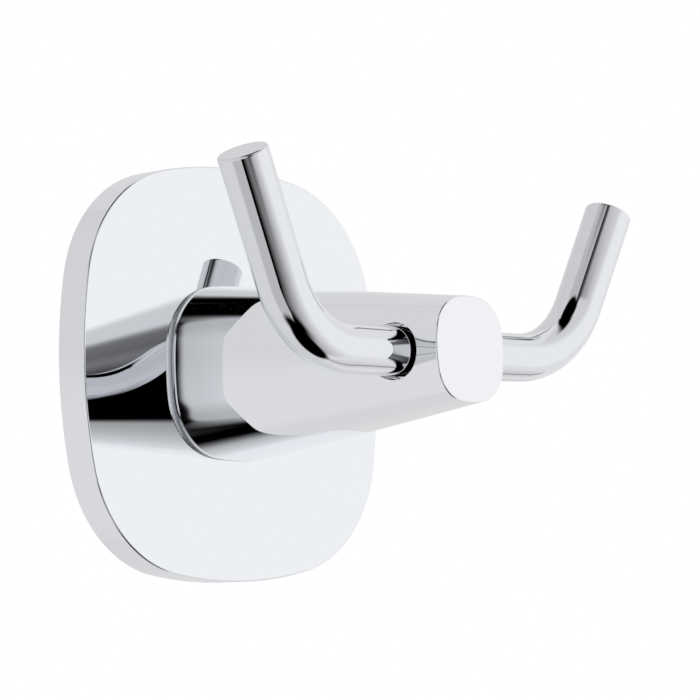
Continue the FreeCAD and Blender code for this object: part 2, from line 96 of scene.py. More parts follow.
BOSS_REACH = -boss_low[1]
BOSS_LENGTH = BOSS_REACH - PLATE_DEPTH
BOSS_BASE = (25.0 * MM, 23.2 * MM, 50 * MM, 8.6 * MM)
BOSS_END = (12.8 * MM, 13.2 * MM, 13 * MM, 4.8 * MM)
BOSS_END_EDGE = 0.22 * MM
BASE_BEVEL = 0.4 * MM
SCREW_OFFSET = 5.0 * MM
PLATE_SCREW_HOLE = 2.15 * MM
BOSS_SCREW_HOLE = 2.05 * MM
BOSS_SCREW_DEPTH = 9.0 * MM
GRUB_HOLE_RADIUS = 1.3 * MM
GRUB_AXIS = 1.65 * MM

ROD_RADIUS = mounts["right_peg"]["dims"]["r_mm"] * MM
ROD_SETBACK = 6.9 * MM
ROD_DEPTH = BOSS_REACH - ROD_SETBACK
ROD_SEAT = 4.0 * MM
ROD_STRAIGHT = 16.5 * MM
BEND_RADIUS = 13.2 * MM
UPTURN_ANGLE = math.radians(64)
ROD_EDGE = 0.35 * MM
UPTURN_LENGTH = {node: mounts[peg]["dims"]["length_mm"] * MM + ROD_EDGE
                 for node, peg in (("left_arm", "left_peg"), ("right_arm", "right_peg"))}
SWEEP = math.radians(3.4)
LEAN = math.radians(3.0)
SPIGOT_RADIUS = 2.0 * MM
SPIGOT_LENGTH = 3.4 * MM
SPIGOT_CHAMFER = 0.4 * MM
SPIGOT_HOLE_RADIUS = 2.05 * MM
SPIGOT_HOLE_END = 0.35 * MM
MOUTH_CLEARANCE = 0.42 * MM
MOUTH_RADIUS = ROD_RADIUS + MOUTH_CLEARANCE
MOUTH_LIP = 0.12 * MM
print("plate", round(PLATE_WIDTH / MM, 2), "x", round(PLATE_HEIGHT / MM, 2), "mm,",
      "reach", round(BOSS_REACH / MM, 2), "mm")

# %% [markdown]
# ## The section of a turned or moulded edge
# No real edge is perfectly sharp, and chrome shows it: the tiny round between two faces catches
# its own thin line of light or dark. So every section is a polygon with arcs at its corners, and
# it carries its exact normals, because a mirror shows the normals and not the facets.

# %% Rounded section
ARC_STEPS = 6


def unit(vectors):
    """Vectors scaled to a length of one."""
    return vectors / np.linalg.norm(vectors, axis=-1, keepdims=True)


def section(corners, radii):
    """Points and normals of an open polygon whose inner corners are rounded by arcs.

    An arc starts at radius x tan(half the turn) before its corner, and the normal turns evenly
    along it, from one side's to the next one's. The outside is on the right of the way along the
    polygon, which keeps its own two end points.
    """
    corners = np.array(corners, float)
    ways = unit(np.diff(corners, axis=0))
    sides = np.stack([ways[:, 1], -ways[:, 0]], -1)
    points, normals = [corners[:1]], [sides[:1]]
    for k in range(1, len(corners) - 1):
        way_in, way_out = ways[k - 1], ways[k]
        turn = math.atan2(way_in[0] * way_out[1] - way_in[1] * way_out[0], way_in @ way_out)
        radius = math.copysign(radii[k], turn)
        start = corners[k] - way_in * radii[k] * math.tan(abs(turn) / 2)
        step = np.linspace(0, turn, ARC_STEPS + 1)[:, None]
        normal = np.cos(step) * sides[k - 1] + np.sin(step) * way_in
        points.append(start - radius * sides[k - 1] + radius * normal)
        normals.append(normal)
    return np.concatenate(points + [corners[-1:]]), np.concatenate(normals + [sides[-1:]])


# %% [markdown]
# ## From grids of points to one closed piece
# Every surface below is a grid of points with a normal at each. Neighbouring points make the
# faces, points that meet are joined, and the exact normals are stored with the mesh, so that a
# reflection runs smoothly over it. An open edge left over would show as a slit, so they are counted.

# %% Piece from patches
WELD = 1e-8


def grid_faces(rows, columns, start=0):
    """The four-sided faces between neighbouring points of a grid, which are numbered from start."""
    index = start + np.arange(rows * columns).reshape(rows, columns)
    return np.stack([index[:-1, :-1], index[:-1, 1:], index[1:, 1:], index[1:, :-1]], -1).reshape(-1, 4)


def weld(points, normals, quads):
    """Points that meet joined into one, whose normal is the mean of theirs.

    Returns the points, the normals, the quads, and the triangles that quads with a lost side became.
    """
    _, first, joined = np.unique(np.round(points / WELD).astype(np.int64), axis=0,
                                 return_index=True, return_inverse=True)
    joined = joined.reshape(-1)
    shared = np.zeros((len(first), 3))
    np.add.at(shared, joined, normals)
    quads = joined[quads]
    same = quads == np.roll(quads, -1, axis=1)
    lost = same.sum(1)
    triangles = quads[lost == 1][~same[lost == 1]].reshape(-1, 3)
    return points[first], unit(shared), quads[lost == 0], triangles


def open_edges(mesh):
    """How many edges don't lie between exactly two faces."""
    uses = np.zeros(len(mesh.edges), int)
    loops = np.zeros(len(mesh.loops), int)
    mesh.loops.foreach_get("edge_index", loops)
    np.add.at(uses, loops, 1)
    return int((uses != 2).sum())


def add_object(name, data):
    """An object in the scene for a mesh, a camera or a lamp."""
    thing = bpy.data.objects.new(name, data)
    bpy.context.collection.objects.link(thing)
    return thing


def make_piece(name, patches, node):
    """A mesh object from patches of (points, normals), which rides on the hook and stands for a node."""
    points = np.concatenate([patch[0].reshape(-1, 3) for patch in patches])
    normals = np.concatenate([patch[1].reshape(-1, 3) for patch in patches])
    faces = []
    start = 0
    for grid, _ in patches:
        rows, columns = grid.shape[:2]
        quads = grid_faces(rows, columns, start)
        start += rows * columns
        corner = points[quads]
        facing = np.cross(corner[:, 2] - corner[:, 0], corner[:, 3] - corner[:, 1])
        faces.append(quads if (facing * normals[quads].sum(1)).sum() > 0 else quads[:, ::-1])
    points, normals, quads, triangles = weld(points, normals, np.concatenate(faces))
    mesh = bpy.data.meshes.new(name)
    mesh.from_pydata(points.tolist(), [], quads.tolist() + triangles.tolist())
    mesh.polygons.foreach_set("use_smooth", np.ones(len(mesh.polygons), bool))
    mesh.normals_split_custom_set_from_vertices(normals.tolist())
    piece = add_object(name, mesh)
    print(name, len(mesh.polygons), "faces,", open_edges(mesh), "open edges")
    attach(piece, "root")
    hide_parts(node)
    return piece


# %% [markdown]
# ## The rounded square
# The plate and the boss share one outline: four long arcs for the sides and four short ones for
# the corners, each running smoothly into the next. It is drawn by the direction of its normal. That
# makes an inset exact, because a point moves straight along its own normal, and it makes the
# boss smooth, because each straight line on its flank joins two points with the same normal. Every
# ring starts and ends on the diagonal, where no hole is.

# %% Outline
SOFT_COPIES = 9
COLUMNS = 480
SEAM = math.pi / 4
round_angles = np.linspace(SEAM - 2 * math.pi, SEAM, COLUMNS + 1)


def rounded_square(width, height, side, corner):
    """A function that gives the outline's point for each direction of its outward normal.

    Within the first quarter the normal meets a side arc, then the corner arc, then the top arc. A
    point is that arc's centre + radius x (cosine, sine), and the other quarters are mirrored.
    """
    side_x, side_y = side - width / 2, side - height / 2
    between = math.hypot(side_x, side_y)
    rise = math.sqrt((side - corner) ** 2 - (between / 2) ** 2)
    centre_x = rise * side_y / between - side_x / 2
    centre_y = rise * side_x / between - side_y / 2
    low = math.atan2(centre_y, centre_x + side_x)
    high = math.atan2(centre_y + side_y, centre_x)

    def outline(angle):
        across, up = np.cos(angle), np.sin(angle)
        turn = np.arctan2(np.abs(up), np.abs(across))
        radius = np.where((turn < low) | (turn > high), side, corner)
        middle_x = np.where(turn < low, -side_x, np.where(turn > high, 0, centre_x))
        middle_y = np.where(turn < low, 0, np.where(turn > high, -side_y, centre_y))
        x = np.sign(across) * middle_x + radius * across
        y = np.sign(up) * middle_y + radius * up
        return np.stack([x, y], -1)

    return outline


def soften(outline, spread):
    """The outline with the change between its arcs spread over that angle to either side.

    It is the mean of copies turned by -spread to spread, each read where its normal is the same, so
    the normals stay as they were and only the radius changes gradually.
    """
    turns = np.linspace(-spread, spread, SOFT_COPIES)

    def soft_outline(angle):
        total = 0
        for turn in turns:
            x, y = np.moveaxis(outline(angle + turn), -1, 0)
            cos, sin = math.cos(turn), math.sin(turn)
            total = total + np.stack([cos * x + sin * y, cos * y - sin * x], -1)
        return total / len(turns)

    return soft_outline


def in_space(flat, depth):
    """Points of an outline, set at a distance in front of the wall."""
    depth = np.broadcast_to(depth, flat.shape[:-1])
    return np.stack([flat[..., 0], -depth, flat[..., 1]], -1)


def direction(angle):
    """The outward direction in the outline's plane."""
    return np.stack([np.cos(angle), np.sin(angle)], -1)


# %% [markdown]
# ## Holes in a curved surface
# A rod enters the boss through a drilled mouth. A drill leaves a circle as seen along its axis, so
# each point of the mouth's edge is found on the surface by its two distances from that axis, with
# Newton's method on the surface's own two parameters. The faces inside a window of the grid then
# make way for rings that run from the window's border to that edge.

# %% Mouths
NEWTON_ROUNDS = 12
NUDGE = 1e-5


class Drill:
    """A drilled hole: a point on its axis, the way out along it, and two directions square to it."""

    def __init__(self, origin, way, radius):
        self.origin = np.array(origin, float)
        self.way = unit(np.array(way, float))
        helper = np.eye(3)[np.argmin(np.abs(self.way))]
        self.first = unit(np.cross(np.cross(self.way, helper), self.way))
        self.second = np.cross(self.way, self.first)
        self.radius = radius

    def across(self, points):
        """The two distances of points from the axis."""
        offset = points - self.origin
        return np.stack([offset @ self.first, offset @ self.second], -1)

    def radial(self, turn):
        """The direction away from the axis."""
        return np.cos(turn)[..., None] * self.first + np.sin(turn)[..., None] * self.second

    def ring(self, turn, radius, height):
        """Origin + height x way out + radius x direction away from the axis."""
        return self.origin + height[..., None] * self.way + radius[..., None] * self.radial(turn)


def meet(surface, drill, turn, radius, guess):
    """The surface's parameters where a circle of this radius about the drill's axis passes through it."""
    target = radius * direction(turn)
    found = np.array(guess, float)
    for _ in range(NEWTON_ROUNDS):
        miss = drill.across(surface(found[0], found[1])[0]) - target
        by_first = (drill.across(surface(found[0] + NUDGE, found[1])[0]) - target - miss) / NUDGE
        by_second = (drill.across(surface(found[0], found[1] + NUDGE)[0]) - target - miss) / NUDGE
        area = by_first[:, 0] * by_second[:, 1] - by_first[:, 1] * by_second[:, 0]
        found[0] -= (miss[:, 0] * by_second[:, 1] - miss[:, 1] * by_second[:, 0]) / area
        found[1] -= (miss[:, 1] * by_first[:, 0] - miss[:, 0] * by_first[:, 1]) / area
    return found


def border(grid, rows, columns):
    """The values of a grid once round a window, back to where they started."""
    top, bottom = rows
    left, right = columns
    return np.concatenate([
        grid[top, left:right],
        grid[top:bottom, right],
        grid[bottom, right:left:-1],
        grid[bottom:top:-1, left],
        grid[top:top + 1, left],
    ])


def open_mouth(surface, first, second, window, drill, lip, rings):
    """Rings from the window's border to the mouth, then a small round over its edge.

    The rings are evenly spaced in the surface's parameters. The round is the curve
    (1 - t)^2 start + 2t(1 - t) corner + t^2 stop, from the surface to the bore's wall. Returns the
    patches, the turn of each ray about the axis, and the points where the bore starts.
    """
    edge = np.stack([border(first, *window), border(second, *window)])
    spread = drill.across(surface(edge[0], edge[1])[0])
    turn = np.arctan2(spread[:, 1], spread[:, 0])
    middle = (edge.max(1) + edge.min(1))[:, None] / 2
    outer = meet(surface, drill, turn, drill.radius + lip, (edge + middle) / 2)
    sharp = meet(surface, drill, turn, drill.radius, outer)
    share = np.linspace(0, 1, rings + 1)[:, None]
    approach = surface(edge[0] + share * (outer[0] - edge[0]), edge[1] + share * (outer[1] - edge[1]))
    start, start_normal = surface(outer[0], outer[1])
    corner = surface(sharp[0], sharp[1])[0]
    stop = corner - lip * drill.way
    step = np.linspace(0, 1, ARC_STEPS + 1)[:, None, None]
    curve = (1 - step) ** 2 * start + 2 * step * (1 - step) * corner + step**2 * stop
    normal = unit((1 - step) * start_normal - step * drill.radial(turn))
    return [approach, (curve, normal)], turn, stop


def without_window(points, normals, windows):
    """The grid as patches that leave out each window; the windows share their rows."""
    rows = windows[0][0]
    patches = [(points[: rows[0] + 1], normals[: rows[0] + 1]), (points[rows[1]:], normals[rows[1]:])]
    start = 0
    for _, columns in windows:
        part = (slice(rows[0], rows[1] + 1), slice(start, columns[0] + 1))
        patches.append((points[part], normals[part]))
        start = columns[1]
    part = (slice(rows[0], rows[1] + 1), slice(start, None))
    patches.append((points[part], normals[part]))
    return patches


def window_at(middle, span, rows):
    """A window of the grid, centred on a direction and spanning some degrees each way."""
    per_degree = COLUMNS / 360
    centre = round(math.degrees(middle - SEAM) % 360 * per_degree)
    reach = round(span * per_degree)
    return rows, (centre - reach, centre + reach)


def pierced(surface, steps, holes, rings=4):
    """A surface over all directions and the given steps, with holes cut in windows that share their rows.

    Each hole is a window, a drill and the round of its edge. Returns the patches and, for each hole,
    the turn of its rays and the points where its bore starts.
    """
    first, second = np.meshgrid(round_angles, steps)
    points, normals = surface(first, second)
    patches = without_window(points, normals, [window for window, _, _ in holes])
    mouths = []
    for window, drill, lip in holes:
        mouth, turn, stop = open_mouth(surface, first, second, window, drill, lip, rings)
        patches += mouth
        mouths.append((turn, stop))
    return patches, mouths


def tunnel(drill, turn, start, stop):
    """The straight wall of a hole between its two mouths, which faces the hole's axis."""
    wall = np.stack([start, stop])
    return wall, np.broadcast_to(-drill.radial(turn), wall.shape)


def bore(drill, turn, start, corners, radii):
    """The wall and floor of a blind hole, from the mouth's edge down to its end."""
    place, tilt = section(corners, radii)
    radius, height = place[1:, :1], place[1:, 1:]
    points = drill.ring(turn, radius, height)
    normals = tilt[1:, :1, None] * drill.radial(turn) + tilt[1:, 1:, None] * drill.way
    return [tunnel(drill, turn, start, points[0]), (points, normals)]


# %% [markdown]
# ## Cover plate
# A shallow casting that hides the bracket. Its face is dead flat, its front edge is barely broken,
# and its back is open inside a narrow rim. The section runs from the middle of the face over the
# edge, under the rim and back along the recess. Its rounded corners are carried round the outline
# as rings, and between them lie four plain surfaces: face, side, inner wall and floor. The first
# and the last have the holes for the boss's screws, and the two walls the one for the grub screw.
# A window round a hole has its first and last row at the limits below, and spans some degrees.

# %% Cover plate, plain surfaces
HOLE_ROWS = 12
HOLE_WINDOW_ROWS = (1, HOLE_ROWS + 1)
WALL_WINDOW = (0.16 * MM, 3.06 * MM)
FACE_WINDOW = (0.05, 0.34)
OUTER_RINGS = (0.55, 0.75, 1.0)
SCREW_SPAN = 18
GRUB_SPAN = 2.25
plate_outline = rounded_square(PLATE_WIDTH, PLATE_HEIGHT, PLATE_SIDE_RADIUS, PLATE_CORNER_RADIUS)


def plate_flat(depth, inset, facing):
    """The face or the floor: share x (outline + inset x normal), at one distance from the wall."""
    def surface(angle, share):
        points = in_space(share[..., None] * (plate_outline(angle) + inset * direction(angle)), depth)
        return points, np.broadcast_to([0.0, facing, 0.0], points.shape)
    return surface


def plate_wall(inset, facing):
    """The side or the inner wall: outline + inset x normal, at every distance from the wall."""
    def surface(angle, depth):
        points = in_space(plate_outline(angle) + inset * direction(angle), depth)
        return points, in_space(facing * direction(angle), 0.0)
    return surface


# %% Cover plate, piece
def plate_screw_holes(front_inset, hollow, floor_inset):
    """The face and the floor with two holes through both. Each drill is turned round for the floor."""
    steps = np.concatenate([[0.0], np.linspace(*FACE_WINDOW, HOLE_ROWS + 1), OUTER_RINGS])
    holes = [(window_at(side * math.pi / 2, SCREW_SPAN, HOLE_WINDOW_ROWS),
              Drill((0, 0, side * SCREW_OFFSET), (0, -1, 0), PLATE_SCREW_HOLE), FINE_EDGE)
             for side in (1, -1)]
    face, front = pierced(plate_flat(PLATE_DEPTH, front_inset, -1.0), steps, holes)
    for _, drill, _ in holes:
        drill.way = -drill.way
    floor, back = pierced(plate_flat(hollow, floor_inset, 1.0), steps, holes)
    tunnels = [tunnel(drill, turn, start, stop)
               for (_, drill, _), (turn, start), (_, stop) in zip(holes, front, back)]
    return face + floor + tunnels


def plate_grub_hole(side_limits, inner_limits):
    """The side and the inner wall with one hole through both, on the lower edge."""
    drilled = np.linspace(*WALL_WINDOW, HOLE_ROWS + 1)
    window = window_at(-math.pi / 2, GRUB_SPAN, HOLE_WINDOW_ROWS)
    grub = Drill((0, -GRUB_AXIS, 0), (0, 0, -1), GRUB_HOLE_RADIUS)
    steps = np.concatenate([side_limits[:1], drilled, side_limits[1:]])
    side, outside = pierced(plate_wall(0.0, 1.0), steps, [(window, grub, FINE_EDGE)])
    grub.way = -grub.way
    steps = np.concatenate([inner_limits[:1], drilled, inner_limits[1:]])
    inner, inside = pierced(plate_wall(-PLATE_RIM, -1.0), steps, [(window, grub, FINE_EDGE / 2)])
    return side + inner + [tunnel(grub, *outside[0], inside[0][1])]


def make_plate():
    """The section's four rounded corners as rings, outline(angle) + inset x normal, and what is between."""
    hollow = PLATE_DEPTH - PLATE_SKIN
    reach = PLATE_WIDTH / 2
    corners = [(-reach, hollow), (-PLATE_RIM, hollow), (-PLATE_RIM, 0), (0, 0), (0, PLATE_DEPTH),
               (-reach, PLATE_DEPTH)]
    place, tilt = section(corners, [0, FINE_EDGE, FINE_EDGE, FINE_EDGE, PLATE_EDGE, 0])
    place, tilt = place[1:-1], tilt[1:-1]
    normal = direction(round_angles)
    rings = in_space(plate_outline(round_angles) + place[:, :1, None] * normal, place[:, 1:])
    ring_normals = in_space(tilt[:, :1, None] * normal, tilt[:, 1:])
    arcs = np.split(np.arange(len(rings)), 4)
    under_rim = [arcs[1][-1], arcs[2][0]]
    patches = [(rings[rows], ring_normals[rows]) for rows in (*arcs, under_rim)]
    patches += plate_screw_holes(place[-1, 0], hollow, place[0, 0])
    patches += plate_grub_hole(place[[arcs[2][-1], arcs[3][0]], 1], place[[arcs[1][0], arcs[0][-1]], 1])
    return make_piece("cover_plate_skin", patches, "cover_plate")


plate = make_plate()

# %% [markdown]
# ## Boss
# The boss is the piece that shows most. It is a smooth taper between two rounded squares, polished
# all over, with a flat end, a fine round about that end and a bevel where it meets the plate. Two
# blind holes in its back take the screws that hold it.
#
# The flank is a ruled surface: each of its straight lines joins the two points, one on the base and
# one on the end, whose normals point the same way. On a polished flank each sudden change of radius
# shows as a corner in the reflections, and the real one has none, so the arcs run into each other.

# %% Boss, outer surface
BOSS_SOFTNESS = math.radians(4)
boss_base = soften(rounded_square(*BOSS_BASE), BOSS_SOFTNESS)
boss_end = soften(rounded_square(*BOSS_END), BOSS_SOFTNESS)


def flank(angle, along):
    """(1 - along) x base(angle) + along x end(angle), and the normal that leans with the taper."""
    base, end, normal = boss_base(angle), boss_end(angle), direction(angle)
    points = in_space(base + along[..., None] * (end - base), PLATE_DEPTH + along * BOSS_LENGTH)
    lean = ((base - end) * normal).sum(-1) / BOSS_LENGTH
    return points, unit(in_space(normal, lean))


def rod_way(side):
    """The direction of an arm's straight run, which sweeps away from the wall."""
    return np.array([side * math.cos(SWEEP), -math.sin(SWEEP), 0])


# %% [markdown]
# The flank runs from the bevel to the round about the end, with a mouth and a blind seat for a rod
# on either side. How far the round reaches down the flank depends on how much the flank leans
# there, so the last row of its grid follows that.

# %% Boss, flank and mouths
FLANK_ROWS = 80
MOUTH_SPAN = 32
MOUTH_ROWS = (56, 78)
MOUTH_RINGS = 14
boss_normal = direction(round_angles)
boss_taper = ((boss_base(round_angles) - boss_end(round_angles)) * boss_normal).sum(-1)
boss_lean = np.arctan(boss_taper / BOSS_LENGTH)
end_pull = BOSS_END_EDGE * np.tan((math.pi / 2 - boss_lean) / 2)


def boss_flank():
    """The flank with its two seats; also the first and the last ring of its points."""
    start = BASE_BEVEL / BOSS_LENGTH
    stop = 1 - end_pull * np.cos(boss_lean) / BOSS_LENGTH
    along = start + np.linspace(0, 1, FLANK_ROWS + 1)[:, None] * (stop - start)
    around = np.broadcast_to(round_angles, along.shape)
    points, normals = flank(around, along)
    windows = {-1: window_at(math.pi, MOUTH_SPAN, MOUTH_ROWS), 1: window_at(0, MOUTH_SPAN, MOUTH_ROWS)}
    patches = without_window(points, normals, [windows[-1], windows[1]])
    seat = [(MOUTH_RADIUS, 2 * ROD_SEAT), (MOUTH_RADIUS, ROD_SEAT), (SPIGOT_HOLE_RADIUS, ROD_SEAT),
            (SPIGOT_HOLE_RADIUS, SPIGOT_HOLE_END), (0, SPIGOT_HOLE_END)]
    for side, window in windows.items():
        drill = Drill((0, -ROD_DEPTH, 0), rod_way(side), MOUTH_RADIUS)
        mouth, rays, lip_end = open_mouth(flank, around, along, window, drill, MOUTH_LIP, MOUTH_RINGS)
        patches += mouth + bore(drill, rays, lip_end, seat, [0] + 3 * [FINE_EDGE] + [0])
    return patches, points[0], points[-1]


# %% [markdown]
# In front the fine round leads to a flat end. Behind, the bevel leads to a flat back, which has the
# two blind screw holes.

# %% Boss, end and back
CAP_RINGS = 12
BASE_WINDOW = (0.19, 0.74)
BASE_SPAN = 18


def boss_front(last_ring):
    """The round about the end, which turns from the flank's lean to the front, and the flat inside it."""
    end = boss_end(round_angles)
    turn = boss_lean + np.linspace(0, 1, ARC_STEPS + 1)[:, None] * (math.pi / 2 - boss_lean)
    inset = -end_pull + BOSS_END_EDGE * np.cos(turn)
    depth = BOSS_REACH - BOSS_END_EDGE + BOSS_END_EDGE * np.sin(turn)
    edge = in_space(end + inset[..., None] * boss_normal, depth)
    edge[0] = last_ring
    share = np.linspace(1, 0, CAP_RINGS)[:, None, None]
    cap = in_space(share * (end - end_pull[:, None] * boss_normal), BOSS_REACH)
    cap[0] = edge[-1]
    return [(edge, in_space(np.cos(turn)[..., None] * boss_normal, np.sin(turn))),
            (cap, np.broadcast_to([0.0, -1.0, 0.0], cap.shape))]


def back_flat(angle, share):
    """share x (base - bevel x normal), in the plane of the plate's face."""
    ring = in_space(share[..., None] * (boss_base(angle) - BASE_BEVEL * direction(angle)), PLATE_DEPTH)
    return ring, np.broadcast_to([0.0, 1.0, 0.0], ring.shape)


def boss_back(first_ring):
    """The bevel next to the plate, and the flat back with two blind screw holes."""
    rim = back_flat(round_angles, np.ones(len(round_angles)))[0]
    bevel_normal = unit(in_space(boss_normal, -1.0))
    steps = np.concatenate([[0.0], np.linspace(*BASE_WINDOW, HOLE_ROWS + 1), [1.0]])
    holes = [(window_at(side * math.pi / 2, BASE_SPAN, HOLE_WINDOW_ROWS),
              Drill((0, -PLATE_DEPTH, side * SCREW_OFFSET), (0, 1, 0), BOSS_SCREW_HOLE), FINE_EDGE)
             for side in (1, -1)]
    closing, mouths = pierced(back_flat, steps, holes)
    corners = [(BOSS_SCREW_HOLE, 0), (BOSS_SCREW_HOLE, -BOSS_SCREW_DEPTH), (0, -BOSS_SCREW_DEPTH)]
    for (_, drill, _), (rays, start) in zip(holes, mouths):
        closing += bore(drill, rays, start, corners, [0, FINE_EDGE, 0])
    return [(np.stack([rim, first_ring]), np.stack([bevel_normal, bevel_normal]))] + closing


def make_boss():
    """The flank, the end and the back, joined into one closed piece."""
    patches, first_ring, last_ring = boss_flank()
    patches += boss_front(last_ring) + boss_back(first_ring)
    return make_piece("boss_skin", patches, "boss")


boss = make_boss()

# %% [markdown]
# ## Arms
# Each arm is one length of round rod: a turned spigot that the boss grips, a straight run, a bend
# and a straight end, cut square and barely broken at its rim. The photograph shows the right one
# cut a little shorter. A section of radius against length is carried along the path, and at each
# station it stands square to the path. The bend's stations go in just before the rim's round.

# %% Arms
ROUND = 128
BEND_ROWS = 72


def path(length, side):
    """Point, upward normal and way of the rod's centre line at each length from the seat.

    Up to the bend the way is level. In the bend it turns by (length - start) / radius, and after it
    the rod runs straight on. The plane of the path is swept and leaned away from the wall.
    """
    level = ROD_STRAIGHT - ROD_SEAT
    turn = np.clip((length - level) / BEND_RADIUS, 0, UPTURN_ANGLE)
    after = np.maximum(length - level - BEND_RADIUS * UPTURN_ANGLE, 0)
    x = ROD_SEAT + np.minimum(length, level) + BEND_RADIUS * np.sin(turn) + after * math.cos(UPTURN_ANGLE)
    z = BEND_RADIUS * (1 - np.cos(turn)) + after * math.sin(UPTURN_ANGLE)
    out = rod_way(side)
    tilt = math.sin(LEAN)
    up = np.array([-side * tilt * math.sin(SWEEP), -tilt * math.cos(SWEEP), math.cos(LEAN)])
    point = x[..., None] * out + z[..., None] * up + np.array([0, -ROD_DEPTH, 0])
    way = np.cos(turn)[..., None] * out + np.sin(turn)[..., None] * up
    normal = np.cos(turn)[..., None] * up - np.sin(turn)[..., None] * out
    return point, normal, way


def make_arm(name, side, node):
    """path(length) + radius x (cosine x normal + sine x binormal), with the section's own normals."""
    level = ROD_STRAIGHT - ROD_SEAT
    total = level + BEND_RADIUS * UPTURN_ANGLE + UPTURN_LENGTH[node]
    corners = [(0, -SPIGOT_LENGTH), (SPIGOT_RADIUS - SPIGOT_CHAMFER, -SPIGOT_LENGTH),
               (SPIGOT_RADIUS, -SPIGOT_LENGTH + SPIGOT_CHAMFER), (SPIGOT_RADIUS, 0), (ROD_RADIUS, 0),
               (ROD_RADIUS, total), (0, total)]
    radii = [0, FINE_EDGE, FINE_EDGE, FINE_EDGE, FINE_EDGE, ROD_EDGE, 0]
    place, tilt = section(corners, radii)
    split = len(place) - (ARC_STEPS + 2)
    bend = np.linspace(level, level + BEND_RADIUS * UPTURN_ANGLE, BEND_ROWS + 1)
    bend = np.stack([np.full(len(bend), ROD_RADIUS), bend], -1)
    place = np.concatenate([place[:split], bend, place[split:]])
    tilt = np.concatenate([tilt[:split], np.tile([1.0, 0.0], (len(bend), 1)), tilt[split:]])
    length = place[:, 1]
    on_path, normal, way = path(np.maximum(length, 0), side)
    on_path = on_path + np.minimum(length, 0)[:, None] * way
    binormal = np.cross(way, normal)
    turn = np.linspace(0, 2 * math.pi, ROUND + 1)[None, :, None]
    radial = np.cos(turn) * normal[:, None] + np.sin(turn) * binormal[:, None]
    points = on_path[:, None] + place[:, :1, None] * radial
    normals = tilt[:, :1, None] * radial + tilt[:, 1:, None] * way[:, None]
    return make_piece(name, [(points, normals)], node)


left_arm = make_arm("left_arm_skin", -1, "left_arm")
right_arm = make_arm("right_arm_skin", 1, "right_arm")

# %% [markdown]
# ## Camera
# The photograph looks from the left and a little from below, with a long lens. Its view was found
# by laying the plate's, the boss's and the rods' edges over the picture. Three turns and a distance
# give the camera's axes, and the last two numbers slide it sideways in its own plane.

# %% Camera
CAMERA_YAW = math.radians(47.73)
CAMERA_PITCH = math.radians(-4.737)
CAMERA_ROLL = math.radians(-1.989)
CAMERA_DISTANCE = 361.081 * MM
CAMERA_ASIDE = (3.515 * MM, 1.904 * MM)
CAMERA_TARGET = np.array([0, -20 * MM, 0])
CAMERA_LENS = 144.10
CAMERA_NEAR = 0.01


def put_at(thing, right, up, back, place):
    """Set an object at its place, turned to its three axes."""
    pose = np.eye(4)
    pose[:3, 0], pose[:3, 1], pose[:3, 2], pose[:3, 3] = right, up, back, place
    thing.matrix_world = pose.T.tolist()


def make_camera():
    """Back, right and up from yaw and pitch, then right and up turned about back by the roll."""
    level = math.cos(CAMERA_PITCH)
    back = np.array([-math.sin(CAMERA_YAW) * level, -math.cos(CAMERA_YAW) * level, math.sin(CAMERA_PITCH)])
    across = unit(np.cross([0.0, 0.0, 1.0], back))
    up = np.cross(back, across)
    right = math.cos(CAMERA_ROLL) * across + math.sin(CAMERA_ROLL) * up
    top = math.cos(CAMERA_ROLL) * up - math.sin(CAMERA_ROLL) * across
    place = CAMERA_TARGET + CAMERA_DISTANCE * back + CAMERA_ASIDE[0] * right + CAMERA_ASIDE[1] * top
    data = bpy.data.cameras.new("camera")
    data.lens = CAMERA_LENS
    data.clip_start = CAMERA_NEAR
    camera = add_object("camera", data)
    put_at(camera, right, top, back, place)
    bpy.context.scene.camera = camera
    print("camera at", np.round(place, 3).tolist(), "with a", round(data.lens), "mm lens")


make_camera()

# %% [markdown]
# ## Node helper and colours
# Colours are written as on a paint card, in sRGB hex, and turned to the linear values that light is
# added up in. One helper adds a node with its settings and links, so that a material reads as a list.

# %% Node helper
def linear(hex_colour):
    """An sRGB hex colour as linear red, green, blue and an alpha of 1."""
    values = np.array([int(hex_colour[k:k + 2], 16) for k in (1, 3, 5)]) / 255
    values = np.where(values <= 0.04045, values / 12.92, ((values + 0.055) / 1.055) ** 2.4)
    return (*values.tolist(), 1.0)


def add_node(tree, kind, settings=None, **inputs):
    """A node of a kind. Each input is a value, or a (node, output) pair to link from.

    An input is named as its socket, with _ for a space, or as _ and the socket's number.
    """
    node = tree.nodes.new(kind)
    for key, value in (settings or {}).items():
        setattr(node, key, value)
    for name, value in inputs.items():
        socket = node.inputs[int(name[1:])] if name[0] == "_" else node.inputs[name.replace("_", " ")]
        if isinstance(value, tuple) and isinstance(value[0], bpy.types.Node):
            tree.links.new(value[0].outputs[value[1]], socket)
        else:
            socket.default_value = value
    return node


def new_material(name):
    """A material with an empty node tree."""
    material = bpy.data.materials.new(name)
    material.use_nodes = True
    material.node_tree.nodes.clear()
    return material


# %% [markdown]
# ## Chrome
# Chrome plate is a thin, hard, slightly blue metal over polished nickel. What the eye gets from it
# is the studio, a little darker and cooler. Two faint flaws make it a real one: a haze that
# polishing leaves in broad patches, and ripples of the casting under the plate, a few millimetres
# long and far too low to see except that they bend a reflected edge. The polishing wheel can't
# reach the narrow bevel in the corner between boss and plate, so there the metal stays matt and
# grainy. The grain is drawn coarser than a real 0.05 mm grit, or it wouldn't show.

# %% Chrome
HAZE_LENGTH = 9 * MM
HAZE_SPREAD = (0.3, 0.7)
GLOSS_RANGE = (0.008, 0.02)
RIPPLE_LENGTH = 7 * MM
RIPPLE_HEIGHT = 0.001 * MM
GRIT_LENGTH = 0.14 * MM
GRIT_HEIGHT = 0.02 * MM
LAND_ROUGHNESS = 0.45
LAND_MARGIN = 0.03 * MM
LAND_EDGE = -PLATE_DEPTH - BASE_BEVEL - LAND_MARGIN


